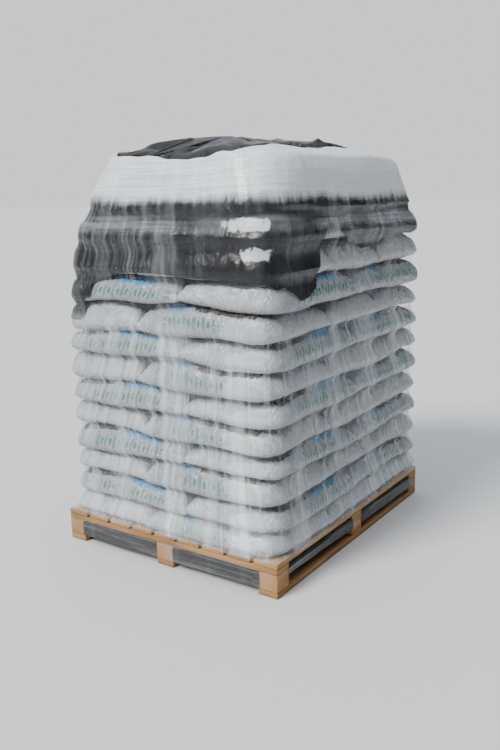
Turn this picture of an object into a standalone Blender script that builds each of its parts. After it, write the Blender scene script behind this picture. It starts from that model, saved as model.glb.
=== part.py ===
"""A loaded pallet: 72 plastic sacks on a light wooden pallet, under a black sheet, in stretch film.

Metres, +Z up. X runs across the pallet's short end and Y along its long side. The origin is on
the floor, under the middle of the pallet. Fourteen layers of five sacks lie crosswise in turn,
and two more sacks lie on top. Each layer is one solid, with the valleys between its sacks in it.
"""

import bmesh
import bpy
from math import cos, pi, sin
from mathutils import Vector

# Pallet: bottom skids, blocks and deck boards run as on a four-way one-way pallet
PALLET_X = 1.000
PALLET_Y = 1.200
SKID_THICK = 0.022
BLOCK_HIGH = 0.065
STRINGER_THICK = 0.021
DECK_THICK = 0.020
SKID_WIDE = 0.080
BLOCK_LONG = 0.078
STRINGER_WIDE = 0.080
DECK_BOARDS = 9
DECK_BOARD_WIDE = 0.098
BOARD_BEVEL = 0.0015
SEAT_GAP = 0.0003

SKID_TOP = SKID_THICK
BLOCK_TOP = SKID_TOP + BLOCK_HIGH
STRINGER_TOP = BLOCK_TOP + STRINGER_THICK
DECK_TOP = STRINGER_TOP + DECK_THICK

# Load: the lower layers are pressed thinner than the upper ones
LAYERS = 14
LOWEST_LAYER_THICK = 0.0885
HIGHEST_LAYER_THICK = 0.1090
REACH_X = 0.490
REACH_Y = 0.590
SACK_LENGTH_SHARE = 0.6
CORNER_RADIUS = 0.045
CORNER_STEPS = 2
TOP_ROUND_IN = 0.036
BELLY_LOW = 0.15
BELLY_HIGH = 0.44
NEIGHBOUR_LAP = 0.002

# The two highest layers are drawn in by the film: low X, high X, low Y, high Y and radius
LAYER_13_IN = (0.030, 0.012, 0.022, 0.022, 0.020)
LAYER_14_IN = (0.075, 0.032, 0.048, 0.048, 0.045)

# Two more sacks on top, side by side and set back from the front end
TOP_SACK_THICK = 0.082
TOP_SACK_X = (-0.340, 0.240)
TOP_SACK_Y = (-0.250, 0.125, 0.500)
TOP_SACK_RADIUS = 0.060

# Cover sheet and film, thicker than the real ones so that they are sound solids
SKIN_THICK = 0.0010
SKIN_GAP = 0.0008
SKIN_DIP = 0.010
SHEET_SKIRT_FOOT = 0.030

# The sheet's lower edge: a flap hangs at one corner, and a tail on the long side at high X
SHEET_EDGE_END = 1.080
SHEET_EDGE_SIDE = 1.210
FLAP_EDGE = 0.900
FLAP_END = 0.100
TAIL_EDGE = 0.975
TAIL_START = 0.080
TAIL_END = 0.270

WOOD = ("pallet wood", (0.42, 0.27, 0.13), 0.75, 0.0)
SACK = ("white sack", (0.62, 0.66, 0.67), 0.40, 0.0)
SHEET = ("black sheet", (0.02, 0.02, 0.022), 0.35, 0.0)
FILM = ("stretch film", (0.60, 0.64, 0.66), 0.20, 0.0)


def clear_scene():
    """Remove the objects that are in the scene already."""
    for thing in list(bpy.data.objects):
        bpy.data.objects.remove(thing, do_unlink=True)


def material(finish):
    """Return the Principled material of a finish: name, colour, roughness and metallic value."""
    name, colour, roughness, metallic = finish
    found = bpy.data.materials.get(name)
    if found:
        return found
    made = bpy.data.materials.new(name)
    made.use_nodes = True
    shader = made.node_tree.nodes["Principled BSDF"]
    shader.inputs["Base Color"].default_value = (*colour, 1.0)
    shader.inputs["Roughness"].default_value = roughness
    shader.inputs["Metallic"].default_value = metallic
    return made


def new_object(name, mesh_maker, finish):
    """Link a new object whose mesh is filled by mesh_maker, a function of a bmesh."""
    mesh = bpy.data.meshes.new(name)
    bm = bmesh.new()
    mesh_maker(bm)
    bmesh.ops.recalc_face_normals(bm, faces=bm.faces)
    bm.to_mesh(mesh)
    bm.free()
    thing = bpy.data.objects.new(name, mesh)
    thing.data.materials.append(material(finish))
    bpy.context.scene.collection.objects.link(thing)
    return thing


def timber(name, low, high):
    """Add one sawn piece between two corners, with its arrises just broken."""
    centre = (Vector(low) + Vector(high)) / 2
    size = Vector(high) - Vector(low)

    def fill(bm):
        bmesh.ops.create_cube(bm, size=1.0)
        bmesh.ops.scale(bm, vec=size, verts=bm.verts)
        bmesh.ops.bevel(bm, geom=list(bm.edges), offset=BOARD_BEVEL, segments=1, affect="EDGES")

    piece = new_object(name, fill, WOOD)
    piece.location = centre
    return piece


def spread(count, width, total):
    """Return the centres of count boards of one width whose outer edges span total."""
    pitch = (total - width) / (count - 1)
    return [-(total - width) / 2 + pitch * step for step in range(count)]


def build_pallet():
    """Skids along Y, nine blocks, stringers along X and deck boards along Y."""
    half_x = PALLET_X / 2
    half_y = PALLET_Y / 2
    rows_x = spread(3, SKID_WIDE, PALLET_X)
    rows_y = spread(3, STRINGER_WIDE, PALLET_Y)
    for number, x in enumerate(rows_x, 1):
        timber(f"bottom_skid_{number}", (x - SKID_WIDE / 2, -half_y, 0.0),
               (x + SKID_WIDE / 2, half_y, SKID_TOP))
        for end, y in enumerate(rows_y, 1):
            outward = (end - 2) * (STRINGER_WIDE - BLOCK_LONG) / 2
            timber(f"block_{number}_{end}",
                   (x - SKID_WIDE / 2, y + outward - BLOCK_LONG / 2, SKID_TOP + SEAT_GAP),
                   (x + SKID_WIDE / 2, y + outward + BLOCK_LONG / 2, BLOCK_TOP))
    for number, y in enumerate(rows_y, 1):
        timber(f"stringer_{number}", (-half_x, y - STRINGER_WIDE / 2, BLOCK_TOP + SEAT_GAP),
               (half_x, y + STRINGER_WIDE / 2, STRINGER_TOP))
    for number, x in enumerate(spread(DECK_BOARDS, DECK_BOARD_WIDE, PALLET_X), 1):
        timber(f"deck_board_{number}", (x - DECK_BOARD_WIDE / 2, -half_y, STRINGER_TOP + SEAT_GAP),
               (x + DECK_BOARD_WIDE / 2, half_y, DECK_TOP))


def layer_thickness(number):
    """Return the thickness of a layer, counted from 1 at the bottom."""
    growth = (HIGHEST_LAYER_THICK - LOWEST_LAYER_THICK) / (LAYERS - 1)
    return LOWEST_LAYER_THICK + growth * (number - 1)


def layer_bottom(number):
    """Return the height at which a layer starts."""
    return DECK_TOP + sum(layer_thickness(below) for below in range(1, number))


def layer_reach(number):
    """Return low X, high X, low Y, high Y and corner radius of a layer's outline."""
    drawn_in = {LAYERS - 1: LAYER_13_IN, LAYERS: LAYER_14_IN}.get(number, (0, 0, 0, 0, 0))
    low_x, high_x, low_y, high_y, rounder = drawn_in
    return (-REACH_X + low_x, REACH_X - high_x, -REACH_Y + low_y, REACH_Y - high_y,
            CORNER_RADIUS + rounder)


def rounded_outline(low_x, high_x, low_y, high_y, radius, marks=((), (), (), ())):
    """Return the points of a rounded rectangle, anticlockwise from the corner at high X, low Y.

    Each of the four entries of marks holds the shares of a side at which it has extra points.
    """
    corners = [(high_x - radius, low_y + radius, -pi / 2), (high_x - radius, high_y - radius, 0.0),
               (low_x + radius, high_y - radius, pi / 2), (low_x + radius, low_y + radius, pi)]
    points = []
    for index, (centre_x, centre_y, start) in enumerate(corners):
        for step in range(CORNER_STEPS + 1):
            angle = start + pi / 2 * step / CORNER_STEPS
            points.append(Vector((centre_x + radius * cos(angle), centre_y + radius * sin(angle))))
        next_x, next_y, next_start = corners[(index + 1) % 4]
        side_end = Vector((next_x + radius * cos(next_start), next_y + radius * sin(next_start)))
        side_start = points[-1]
        points.extend(side_start.lerp(side_end, share) for share in marks[index])
    return points


def grown(reach, by):
    """Return a rounded rectangle's values, grown outwards on every side."""
    low_x, high_x, low_y, high_y, radius = reach
    return (low_x - by, high_x + by, low_y - by, high_y + by, max(radius + by, 0.004))


def add_ring(bm, outline, z):
    """Add the corners of one level and return them."""
    return [bm.verts.new((point.x, point.y, z)) for point in outline]


def bridge(bm, lower, upper):
    """Add the faces between two rings of equal length."""
    count = len(lower)
    for index in range(count):
        after = (index + 1) % count
        bm.faces.new((lower[index], lower[after], upper[after], upper[index]))


def sack(name, cell, low_z, high_z):
    """Add one filled sack: flat above and below, with rounded edges and a full belly."""
    thickness = high_z - low_z
    levels = [(low_z, -TOP_ROUND_IN), (low_z + BELLY_LOW * thickness, 0.0),
              (low_z + BELLY_HIGH * thickness, 0.0), (high_z, -TOP_ROUND_IN)]

    def fill(bm):
        rings = [add_ring(bm, rounded_outline(*grown(cell, by)), z) for z, by in levels]
        for lower, upper in zip(rings, rings[1:]):
            bridge(bm, lower, upper)
        bm.faces.new(reversed(rings[0]))
        bm.faces.new(rings[-1])

    return new_object(name, fill, SACK)


def layer_cells(reach, long_side_right):
    """Return the five cells of a layer, which lap a little where sacks touch.

    Three sacks lie across the load on one side and two lie along it on the other. With
    long_side_right the two that lie along it are at high X.
    """
    low_x, high_x, low_y, high_y, radius = reach
    share = 1 - SACK_LENGTH_SHARE if long_side_right else SACK_LENGTH_SHARE
    split = high_x - share * (high_x - low_x)
    thirds = [low_y + (high_y - low_y) * step / 3 for step in range(4)]
    halves = [low_y, (low_y + high_y) / 2, high_y]
    sides = ((low_x, split, thirds), (split, high_x, halves))
    if not long_side_right:
        sides = ((low_x, split, halves), (split, high_x, thirds))
    cells = []
    for start_x, end_x, marks in sides:
        for start_y, end_y in zip(marks, marks[1:]):
            cells.append((start_x - (NEIGHBOUR_LAP if start_x > low_x else 0.0),
                          end_x + (NEIGHBOUR_LAP if end_x < high_x else 0.0),
                          start_y - (NEIGHBOUR_LAP if start_y > low_y else 0.0),
                          end_y + (NEIGHBOUR_LAP if end_y < high_y else 0.0), radius))
    return cells


def join_solids(name, pieces):
    """Unite touching solids into one closed body and return its object."""
    base = pieces[0]
    for other in pieces[1:]:
        union = base.modifiers.new("join", "BOOLEAN")
        union.operation = "UNION"
        union.solver = "EXACT"
        union.object = other
    joined = bpy.data.meshes.new_from_object(base.evaluated_get(bpy.context.evaluated_depsgraph_get()))
    for piece in pieces:
        bpy.data.objects.remove(piece, do_unlink=True)
    whole = bpy.data.objects.new(name, joined)
    bpy.context.scene.collection.objects.link(whole)
    return whole


def build_layers():
    """Fourteen layers, laid crosswise in turn so that they bind."""
    for number in range(1, LAYERS + 1):
        low_z = layer_bottom(number) + SEAT_GAP
        high_z = layer_bottom(number) + layer_thickness(number)
        cells = layer_cells(layer_reach(number), long_side_right=number % 2 == 0)
        sacks = [sack(f"sack_{number}_{index}", cell, low_z, high_z)
                 for index, cell in enumerate(cells)]
        join_solids(f"sack_layer_{number:02d}", sacks)


def build_top_sacks():
    """Two sacks side by side on the highest layer."""
    low_z = layer_bottom(LAYERS + 1) + SEAT_GAP
    high_z = low_z + TOP_SACK_THICK
    for number, (low_y, high_y) in enumerate(zip(TOP_SACK_Y, TOP_SACK_Y[1:]), 1):
        cell = (*TOP_SACK_X, low_y + SEAT_GAP, high_y - SEAT_GAP, TOP_SACK_RADIUS)
        sack(f"top_sack_{number}", cell, low_z, high_z)


def skin_levels(first, last):
    """Return (height, outline values) of a skin that follows the bellies of some layers.

    The skin dips in a little where one layer meets the next.
    """
    levels = []
    for number in range(first, last + 1):
        low_z = layer_bottom(number)
        thickness = layer_thickness(number)
        if number > 1:
            levels.append((low_z, grown(layer_reach(number - 1), -SKIN_DIP)))
        levels.append((low_z + BELLY_LOW * thickness, layer_reach(number)))
        levels.append((low_z + BELLY_HIGH * thickness, layer_reach(number)))
    return levels


def build_film():
    """An open sleeve round the load, from the deck up to the shoulder."""
    levels = skin_levels(1, LAYERS)
    levels[0] = (DECK_TOP + SEAT_GAP, levels[0][1])
    clearance = 2 * SKIN_GAP + SKIN_THICK

    def fill(bm):
        skins = []
        for by in (clearance, clearance + SKIN_THICK):
            rings = [add_ring(bm, rounded_outline(*grown(reach, by)), z) for z, reach in levels]
            for lower, upper in zip(rings, rings[1:]):
                bridge(bm, lower, upper)
            skins.append(rings)
        inner, outer = skins
        bridge(bm, inner[0], outer[0])
        bridge(bm, inner[-1], outer[-1])

    new_object("stretch_film", fill, FILM)


def sheet_levels(by, lift):
    """Return (height, outline values) of the sheet from its lowest flap to the top sacks."""
    load_top = layer_bottom(LAYERS + 1)
    block = (*TOP_SACK_X, TOP_SACK_Y[0], TOP_SACK_Y[-1], TOP_SACK_RADIUS)
    sack_low = load_top + SEAT_GAP
    first = next(number for number in range(1, LAYERS) if layer_bottom(number + 1) > FLAP_EDGE)
    levels = [(z, grown(reach, by)) for z, reach in skin_levels(first, LAYERS)]
    levels += [(load_top + SKIN_GAP + lift, grown(layer_reach(LAYERS), by - TOP_ROUND_IN)),
               (load_top + SKIN_GAP + lift, grown(block, SHEET_SKIRT_FOOT)),
               (sack_low + BELLY_LOW * TOP_SACK_THICK, grown(block, 3 * SKIN_GAP + by)),
               (sack_low + BELLY_HIGH * TOP_SACK_THICK, grown(block, by)),
               (sack_low + TOP_SACK_THICK + SKIN_GAP + lift, grown(block, by - TOP_ROUND_IN))]
    return levels


def sheet_edge(point):
    """Return how low the sheet may hang at a point of the load's outline."""
    on_low_end = point.y < -REACH_Y + CORNER_RADIUS
    from_low_end = (point.y + REACH_Y) / (2 * REACH_Y)
    if on_low_end and point.x < -REACH_X + CORNER_RADIUS + FLAP_END * 2 * REACH_X:
        return FLAP_EDGE
    if on_low_end:
        return SHEET_EDGE_END
    if point.x > REACH_X - CORNER_RADIUS and TAIL_START < from_low_end < TAIL_END:
        return TAIL_EDGE
    return SHEET_EDGE_SIDE


def build_sheet():
    """The cover sheet: over the two top sacks, across the top layer and down the sides."""
    marks = ((TAIL_START, TAIL_END), (), (), (FLAP_END,))
    plan = rounded_outline(*layer_reach(1), marks=marks)
    heights = [z for z, _ in sheet_levels(SKIN_GAP, 0.0)]
    columns = len(plan)
    starts = []
    for index, point in enumerate(plan):
        middle = (point + plan[(index + 1) % columns]) / 2
        starts.append(next(level for level, z in enumerate(heights) if z > sheet_edge(middle)))

    def skin(bm, by, lift):
        corners = {}
        for level, (z, reach) in enumerate(sheet_levels(by, lift)):
            for index, point in enumerate(rounded_outline(*reach, marks=marks)):
                if level >= min(starts[index - 1], starts[index]):
                    corners[index, level] = bm.verts.new((point.x, point.y, z))
        for index, start in enumerate(starts):
            after = (index + 1) % columns
            for level in range(start, len(heights) - 1):
                bm.faces.new((corners[index, level], corners[after, level],
                              corners[after, level + 1], corners[index, level + 1]))
        bm.faces.new([corners[index, len(heights) - 1] for index in range(columns)])
        return corners

    def fill(bm):
        inner = skin(bm, SKIN_GAP, 0.0)
        outer = skin(bm, SKIN_GAP + SKIN_THICK, SKIN_THICK)
        rim = [((index, start), ((index + 1) % columns, start))
               for index, start in enumerate(starts)]
        for index, start in enumerate(starts):
            low, high = sorted((starts[index - 1], start))
            rim += [((index, level), (index, level + 1)) for level in range(low, high)]
        for one, other in rim:
            bm.faces.new((inner[one], inner[other], outer[other], outer[one]))

    new_object("cover_sheet", fill, SHEET)


def main():
    """Build the loaded pallet."""
    clear_scene()
    build_pallet()
    build_layers()
    build_top_sacks()
    build_sheet()
    build_film()


main()
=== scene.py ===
"""Looks of a loaded pallet: sawn timber, 72 filled sacks, a black cover sheet and stretch film.

Metres, +Z up. X runs across the pallet's short end and Y along its long side, and the camera
stands off the corner at high X and low Y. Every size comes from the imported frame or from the
named values of the classes below.
"""

import logging
import math
from dataclasses import dataclass, field
from enum import Enum

import bpy
import numpy as np
from mathutils import Matrix, Vector, noise
from mathutils.bvhtree import BVHTree


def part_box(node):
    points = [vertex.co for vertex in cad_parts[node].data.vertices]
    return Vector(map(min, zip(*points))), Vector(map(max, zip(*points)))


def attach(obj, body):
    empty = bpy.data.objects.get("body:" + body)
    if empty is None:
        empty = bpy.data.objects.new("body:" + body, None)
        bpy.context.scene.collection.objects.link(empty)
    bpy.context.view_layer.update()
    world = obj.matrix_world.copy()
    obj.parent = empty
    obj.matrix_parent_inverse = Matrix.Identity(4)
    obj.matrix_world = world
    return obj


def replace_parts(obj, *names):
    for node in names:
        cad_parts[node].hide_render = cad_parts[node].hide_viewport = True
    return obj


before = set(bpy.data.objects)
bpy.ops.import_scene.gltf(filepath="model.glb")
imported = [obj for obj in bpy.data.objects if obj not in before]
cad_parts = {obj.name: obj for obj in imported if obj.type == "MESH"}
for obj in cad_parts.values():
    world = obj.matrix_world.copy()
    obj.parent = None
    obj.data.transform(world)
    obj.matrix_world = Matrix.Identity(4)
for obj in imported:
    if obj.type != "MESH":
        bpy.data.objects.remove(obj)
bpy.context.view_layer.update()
LOG = logging.getLogger("pallet")
ROOT = "root"

LAYERS = 14
SACK_LENGTH_SHARE = 0.6
DECK_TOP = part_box("deck_board_1")[1].z
LOAD_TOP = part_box("sack_layer_14")[1].z


class Axis(Enum):
    """The way that a board's grain runs."""

    X = 0
    Y = 1
    Z = 2


def display(red: int, green: int, blue: int) -> tuple[float, float, float, float]:
    """Turn a colour as a screen shows it, 0 to 255, into the linear values of a shader.

    Args:
        red: The screen's red.
        green: The screen's green.
        blue: The screen's blue.

    Returns:
        The linear colour with full alpha.
    """
    linear = [((part / 255 + 0.055) / 1.055) ** 2.4 if part > 10 else part / 255 / 12.92
              for part in (red, green, blue)]
    return (*linear, 1.0)


def points_of(mesh: bpy.types.Mesh) -> np.ndarray:
    """Return a mesh's points.

    Args:
        mesh: The mesh.

    Returns:
        The points, one row each.
    """
    flat = np.zeros(len(mesh.vertices) * 3, np.float32)
    mesh.vertices.foreach_get("co", flat)
    return flat.reshape(-1, 3).astype(float)


def put_points(mesh: bpy.types.Mesh, points: np.ndarray) -> None:
    """Move a mesh's points to the places given, one row each."""
    mesh.vertices.foreach_set("co", points.astype(np.float32).ravel())


def wavy(x: np.ndarray, y: np.ndarray, scale: float, seed: float) -> np.ndarray:
    """Return smooth noise over points of the plan, with scale features a metre."""
    return np.array([noise.noise((a * scale, b * scale, seed)) for a, b in zip(x, y)])


def selected(piece: bpy.types.Object) -> None:
    """Select one piece alone and make it the active one.

    Args:
        piece: The piece.
    """
    bpy.ops.object.select_all(action="DESELECT")
    piece.select_set(True)
    bpy.context.view_layer.objects.active = piece


def worked(piece: bpy.types.Object, kind: str, **settings: object) -> None:
    """Shape the active piece with a modifier and apply it.

    Args:
        piece: The active piece.
        kind: The modifier's type.
        settings: Its settings, by name.
    """
    modifier = piece.modifiers.new(kind.lower(), kind)
    for key, value in settings.items():
        setattr(modifier, key, value)
    bpy.ops.object.modifier_apply(modifier=modifier.name)


def hardened(piece: bpy.types.Object, gap: float, friction: float) -> None:
    """Make cloth come to rest on a piece.

    Args:
        piece: The piece.
        gap: How far off its skin the cloth stays.
        friction: How well the cloth holds on to it.
    """
    press = piece.modifiers.new("press", "COLLISION").settings
    press.thickness_outer = gap
    press.thickness_inner = 0.05
    press.cloth_friction = friction


def played(piece: bpy.types.Object, frames: int, gap: float, gravity: float, **settings: float) -> None:
    """Play a piece as cloth for some frames and keep the shape that it ends in.

    Args:
        piece: The piece.
        frames: How many frames it is played for.
        gap: How far it stays off what it lies on.
        gravity: The share of gravity that it feels.
        settings: The cloth's own settings, by name.
    """
    selected(piece)
    cloth = piece.modifiers.new("cloth", "CLOTH")
    for key, value in settings.items():
        setattr(cloth.settings, key, value)
    cloth.settings.effector_weights.gravity = gravity
    cloth.collision_settings.distance_min = gap
    cloth.collision_settings.collision_quality = 3
    cloth.point_cache.frame_end = frames
    for frame in range(1, frames + 1):
        bpy.context.scene.frame_set(frame)
    bpy.ops.object.modifier_apply(modifier="cloth")
    bpy.context.scene.frame_set(1)


class Signal:
    """A socket's value, on which Python's operators build Math nodes."""

    def __init__(self, bench: "Bench", socket: bpy.types.NodeSocket) -> None:
        """Wrap one output socket of a bench's material."""
        self.bench = bench
        self.socket = socket

    def __add__(self, other: "Signal | float") -> "Signal":
        """Add."""
        return self.bench.sum("ADD", self, other)

    __radd__ = __add__

    def __sub__(self, other: "Signal | float") -> "Signal":
        """Take away."""
        return self.bench.sum("SUBTRACT", self, other)

    def __rsub__(self, other: float) -> "Signal":
        """Take this away from a number."""
        return self.bench.sum("SUBTRACT", other, self)

    def __mul__(self, other: "Signal | float") -> "Signal":
        """Multiply."""
        return self.bench.sum("MULTIPLY", self, other)

    __rmul__ = __mul__

    def __truediv__(self, other: "Signal | float") -> "Signal":
        """Divide."""
        return self.bench.sum("DIVIDE", self, other)

    def __pow__(self, other: float) -> "Signal":
        """Raise to a power."""
        return self.bench.sum("POWER", self, other)

    def __abs__(self) -> "Signal":
        """Drop the sign."""
        return self.bench.sum("ABSOLUTE", self)

    def wave(self) -> "Signal":
        """Return the sine."""
        return self.bench.sum("SINE", self)

    def part(self) -> "Signal":
        """Return what is past the last whole number."""
        return self.bench.sum("FRACT", self)

    def low(self, other: "Signal | float") -> "Signal":
        """Return the smaller of two."""
        return self.bench.sum("MINIMUM", self, other)

    def ease(self, start: float, end: float) -> "Signal":
        """Rise smoothly from 0 at start to 1 at end.

        Args:
            start: The value at which the rise begins.
            end: The value at which it ends, which may be the lower one.

        Returns:
            The eased value.
        """
        settings = {"interpolation_type": "SMOOTHSTEP"}
        sockets = {"Value": self, "From Min": start, "From Max": end}
        if start > end:
            sockets |= {"From Min": end, "From Max": start, "To Min": 1.0, "To Max": 0.0}
        return Signal(self.bench, self.bench.node("ShaderNodeMapRange", settings, sockets).outputs[0])

    def between(self, start: float, end: float, soft: float) -> "Signal":
        """Return 1 from start to end and 0 outside, with soft edges."""
        return self.ease(start - soft, start + soft) * self.ease(end + soft, end - soft)


class Bench:
    """Where the nodes of one tree are put together."""

    def __init__(self, tree: bpy.types.NodeTree) -> None:
        """Work on a tree."""
        self.tree = tree

    def node(self, kind: str, settings: dict | None = None, sockets: dict | None = None) -> bpy.types.Node:
        """Make a node.

        Args:
            kind: The node's type.
            settings: Its own settings, set first. stops are a ramp's places and colours.
            sockets: The values or links of its inputs, by name or number.

        Returns:
            The new node.
        """
        made = self.tree.nodes.new(kind)
        for key, value in (settings or {}).items():
            if key == "stops":
                ramp = made.color_ramp.elements
                while len(ramp) < len(value):
                    ramp.new(0.5)
                for stop, (place, colour) in zip(ramp, value):
                    stop.position = place
                    stop.color = colour
            else:
                setattr(made, key, value)
        for key, value in (sockets or {}).items():
            self.feed(made.inputs[key], value)
        return made

    def feed(self, socket: bpy.types.NodeSocket, value: object) -> None:
        """Link something to an input, or set its plain value.

        Args:
            socket: The input.
            value: A signal or an output to link, or a plain value.
        """
        if isinstance(value, Signal):
            self.tree.links.new(value.socket, socket)
        elif isinstance(value, bpy.types.NodeSocket):
            self.tree.links.new(value, socket)
        else:
            socket.default_value = value

    def sum(self, operation: str, *terms: "Signal | float") -> Signal:
        """Add one Math node and return its value."""
        made = self.node("ShaderNodeMath", {"operation": operation}, dict(enumerate(terms)))
        return Signal(self, made.outputs[0])

    def place(self) -> bpy.types.NodeSocket:
        """Return the Object coordinates."""
        return self.node("ShaderNodeTexCoord").outputs["Object"]

    def map(self, name: str) -> bpy.types.NodeSocket:
        """Return the coordinates of the piece's own UV map."""
        return self.node("ShaderNodeUVMap", {"uv_map": name}).outputs["UV"]

    def stretched(self, vector: bpy.types.NodeSocket, scale: tuple[float, float, float],
                  offset: tuple[float, float, float] = (0.0, 0.0, 0.0)) -> bpy.types.NodeSocket:
        """Return coordinates that are scaled and shifted."""
        return self.node("ShaderNodeMapping", None,
                         {"Vector": vector, "Scale": scale, "Location": offset}).outputs[0]

    def axes(self, vector: bpy.types.NodeSocket) -> list[Signal]:
        """Return the three parts of a vector."""
        split = self.node("ShaderNodeSeparateXYZ", None, {0: vector})
        return [Signal(self, out) for out in split.outputs]

    def cloud(self, vector: bpy.types.NodeSocket, scale: float, detail: float = 2.0,
              rough: float = 0.5, twist: float = 0.0) -> Signal:
        """Return a noise texture's value.

        Args:
            vector: The coordinates.
            scale: How many features a metre has.
            detail: How many finer levels are added.
            rough: How strong the finer levels are.
            twist: How far the noise is bent by itself.

        Returns:
            The noise, about 0.5 on average.
        """
        sockets = {"Vector": vector, "Scale": scale, "Detail": detail, "Roughness": rough,
                   "Distortion": twist}
        return Signal(self, self.node("ShaderNodeTexNoise", None, sockets).outputs[0])

    def cells(self, vector: bpy.types.NodeSocket, scale: float) -> bpy.types.Node:
        """Return a Voronoi node, whose outputs are Distance and Color."""
        return self.node("ShaderNodeTexVoronoi", None, {"Vector": vector, "Scale": scale})

    def blend(self, share: "Signal | float", first: object, second: object) -> bpy.types.NodeSocket:
        """Return a colour between two."""
        made = self.node("ShaderNodeMix", {"data_type": "RGBA"}, {0: share, 6: first, 7: second})
        return made.outputs[2]

    def ramp(self, value: Signal, stops: list[tuple[float, tuple]]) -> bpy.types.NodeSocket:
        """Return a colour read from a ramp."""
        return self.node("ShaderNodeValToRGB", {"stops": stops}, {0: value}).outputs[0]


class Finish(Bench):
    """The bench of one material, with its Principled shader."""

    def __init__(self, name: str) -> None:
        """Start a material with a bare Principled shader.

        Args:
            name: The material's name.
        """
        self.material = bpy.data.materials.new(name)
        self.material.use_nodes = True
        super().__init__(self.material.node_tree)
        self.shader = self.tree.nodes["Principled BSDF"]

    def bumps(self, *heights: tuple[Signal, float]) -> None:
        """Feed the shader's normal.

        Args:
            heights: Pairs of a height and its depth in metres.
        """
        total = None
        for height, depth in heights:
            scaled = height * depth
            total = scaled if total is None else total + scaled
        made = self.node("ShaderNodeBump", None, {"Height": total, "Distance": 1.0, "Strength": 1.0})
        self.feed(self.shader.inputs["Normal"], made.outputs[0])

    def dress(self, **sockets: object) -> bpy.types.Material:
        """Feed the shader's sockets.

        Args:
            sockets: What goes into each, with _ for a space in the socket's name.

        Returns:
            The material.
        """
        for key, value in sockets.items():
            self.feed(self.shader.inputs[key.replace("_", " ")], value)
        return self.material


@dataclass(frozen=True)
class SawnWood:
    """Rough sawn softwood, with its rings as a solid pattern so that the ends show them too."""

    grain: Axis
    seed: int
    stretch: float = 0.07
    ring_width: float = 0.0065
    saw_marks: float = 900.0
    light: tuple = display(190, 152, 104)
    middle: tuple = display(168, 126, 78)
    dark: tuple = display(122, 78, 40)
    knot: tuple = display(96, 60, 34)
    dirt: tuple = display(98, 84, 66)

    def material(self, name: str) -> bpy.types.Material:
        """Return the wood of one board.

        Args:
            name: The material's name.

        Returns:
            The material.
        """
        bench = Finish(name)
        rng = np.random.default_rng(self.seed)
        place = bench.place()
        squeeze = [1.0, 1.0, 1.0]
        squeeze[self.grain.value] = self.stretch
        offset = tuple(rng.uniform(-5, 5, 3))
        along = bench.stretched(place, tuple(squeeze), offset)
        parts = bench.axes(place)
        across = [part for axis, part in zip(Axis, parts) if axis is not self.grain]
        bend = bench.cloud(along, 7.0, 2.0)
        centre = rng.uniform(0.02, 0.09, 2)
        far = ((across[0] + centre[0] + bend * 0.05) ** 2.0 + (across[1] - centre[1]) ** 2.0) ** 0.5
        rings = (far * (2 * math.pi / self.ring_width)).wave() * 0.5 + 0.5
        fibre = bench.cloud(along, 420.0, 3.0, 0.6)
        patch = bench.cloud(along, 9.0, 2.0)
        tone = (rings ** 2.0) * 0.35 + fibre * 0.5 + patch * 0.55 - 0.25 + rng.uniform(-0.12, 0.12)
        colour = bench.ramp(tone, [(0.0, self.light), (0.45, self.middle), (1.0, self.dark)])
        loose = tuple(0.35 if share < 1 else 1.0 for share in squeeze)
        knots = bench.cells(bench.stretched(place, loose, offset), 6.5)
        knot = Signal(bench, knots.outputs["Distance"]).ease(0.10, 0.055)
        colour = bench.blend(knot, colour, self.knot)
        smear = bench.cloud(place, 5.0, 4.0, 0.65).ease(0.56, 0.74) * 0.42
        # Darker towards the bottom: within 3 cm of the floor the wood blends towards the darker colour.
        low = parts[2].ease(0.03, 0.0) * 0.35
        colour = bench.blend((smear + low).low(0.6), colour, self.dirt)
        saw = (parts[self.grain.value] * self.saw_marks + bend * 9.0).wave()
        bench.bumps((fibre, 0.0011), (rings, 0.0003), (saw, 0.00008), (knot, -0.0005))
        rough = fibre * 0.25 + 0.62
        return bench.dress(Base_Color=colour, Roughness=rough)


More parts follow.
